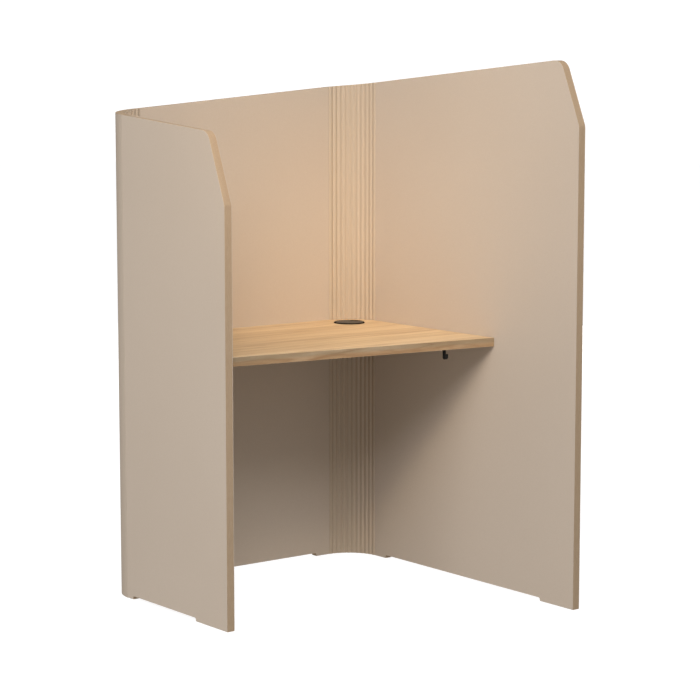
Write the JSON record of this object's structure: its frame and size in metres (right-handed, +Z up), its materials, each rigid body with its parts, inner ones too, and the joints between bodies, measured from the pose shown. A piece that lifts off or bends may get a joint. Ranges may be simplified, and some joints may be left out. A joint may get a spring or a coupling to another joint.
{
  "type": "study carrel",
  "caption": "U-shaped study carrel: an upright board screen with grooved round corners and a slanting top wraps a wooden desktop with a cable grommet and a bag hook.",
  "frame": {"origin": "bottom centre of the whole object, on the floor", "axes": "+X to the user's right, +Y towards the back board, +Z up"},
  "size_m": [0.935, 1.022, 1.5354],
  "materials": {
    "raw_board": "sanded board, clear lacquer, light warm brown",
    "faced_board": "solid board with matt beige ribs and outer facets, cut edges light warm brown",
    "facing": "matt beige-grey sheet with a very fine texture",
    "oak": "light oak, satin lacquer, grain left to right",
    "beech": "planed beech",
    "zinc": "zinc plated",
    "dark_plastic": "dark grey-brown moulded plastic, satin",
    "black_steel": "black powder coat"
  },
  "bodies": {
    "carrel": {"left_board": "raw_board", "back_board": "raw_board", "right_board": "raw_board", "left_bend": "faced_board", "right_bend": "faced_board", "left_inner_facing": "facing", "left_outer_facing": "facing", "back_inner_facing": "facing", "back_outer_facing": "facing", "right_inner_facing": "facing", "right_outer_facing": "facing", "left_tongue": "beech", "back_left_tongue": "beech", "back_right_tongue": "beech", "right_tongue": "beech", "desktop": "oak", "left_cleat": "beech", "back_cleat": "beech", "right_cleat": "beech", "left_wall_screw_1": "zinc", "left_wall_screw_2": "zinc", "left_desk_screw_1": "zinc", "left_desk_screw_2": "zinc", "back_wall_screw_1": "zinc", "back_wall_screw_2": "zinc", "back_wall_screw_3": "zinc", "back_desk_screw_1": "zinc", "back_desk_screw_2": "zinc", "back_desk_screw_3": "zinc", "right_wall_screw_1": "zinc", "right_wall_screw_2": "zinc", "right_desk_screw_1": "zinc", "right_desk_screw_2": "zinc", "bag_hook": "black_steel", "hook_screw_1": "zinc", "hook_screw_2": "zinc", "grommet_sleeve": "dark_plastic"},
    "cap": {"grommet_cap": "dark_plastic", "shutter_pin": "dark_plastic"},
    "shutter": {"grommet_shutter": "dark_plastic"}
  },
  "joints": [
    {"name": "cap_lift", "type": "slide", "parent": "carrel", "child": "cap", "axis": [0, 0, 1], "range_m": [0, 0.03]},
    {"name": "shutter_turn", "type": "hinge", "parent": "cap", "child": "shutter", "pos_m": [0.341, 0.3845, 0.7403], "axis": [0, 0, -1], "range_deg": [0, 74]}
  ]
}
